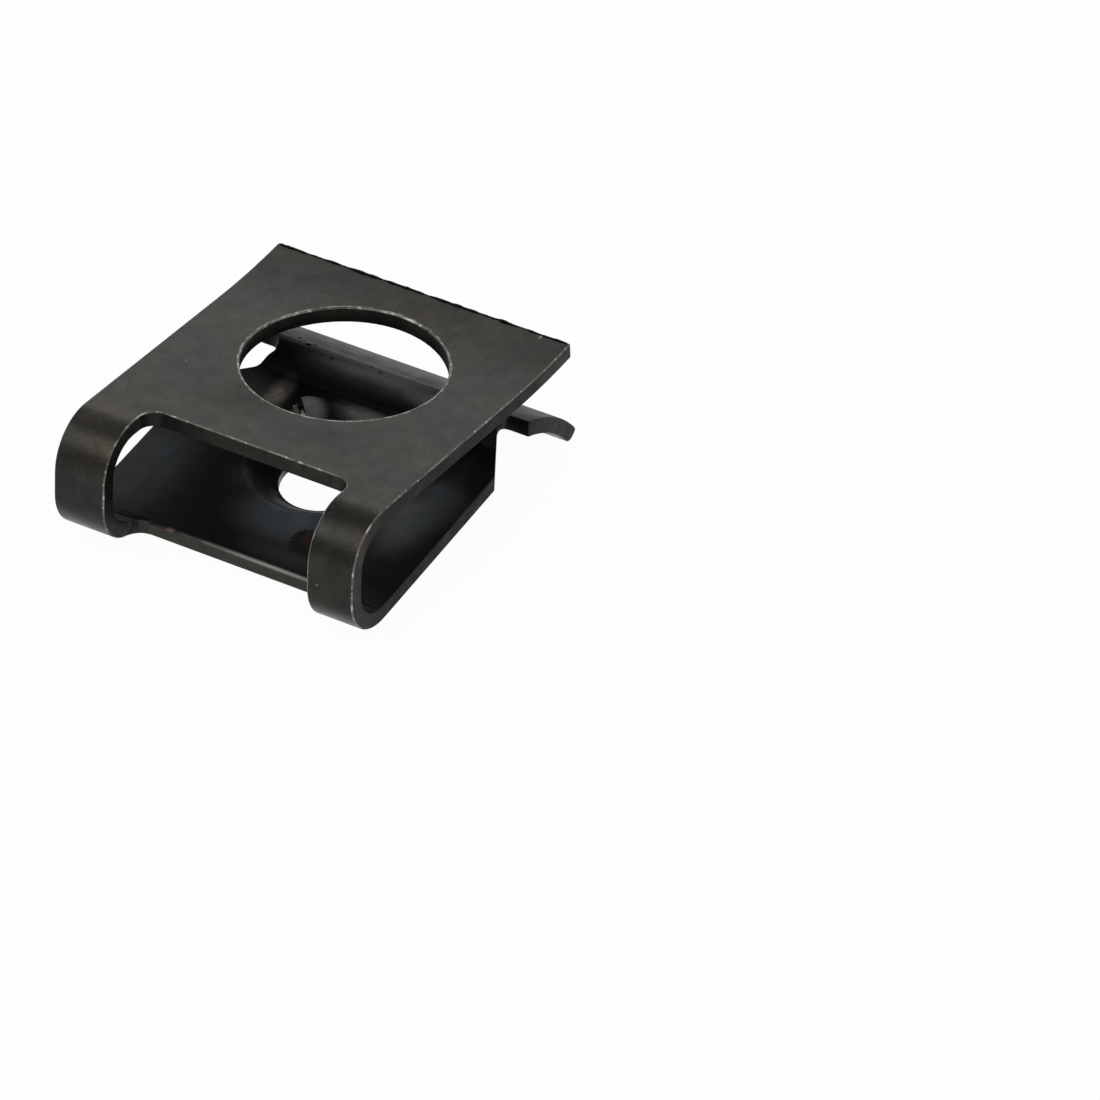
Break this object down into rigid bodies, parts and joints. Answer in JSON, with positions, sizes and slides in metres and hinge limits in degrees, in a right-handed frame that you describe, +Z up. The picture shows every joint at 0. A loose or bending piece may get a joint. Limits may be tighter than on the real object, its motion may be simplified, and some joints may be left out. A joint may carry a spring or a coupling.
{
  "type": "u clip speed nut",
  "caption": "Folded spring steel clip that slides over a panel edge and holds a screw with a formed thread in its lower leg.",
  "frame": {"origin": "under the middle of the clip, on the surface it rests on", "axes": "+X from the fold towards the mouth, +Y across the clip, +Z up, with the top leg uppermost"},
  "size_m": [0.0198, 0.016, 0.0064],
  "materials": {
    "clip_body": "black oxide, satin, worn bright along the sheared edges"
  },
  "bodies": {
    "root": {"clip_body": "clip_body"}
  },
  "joints": []
}
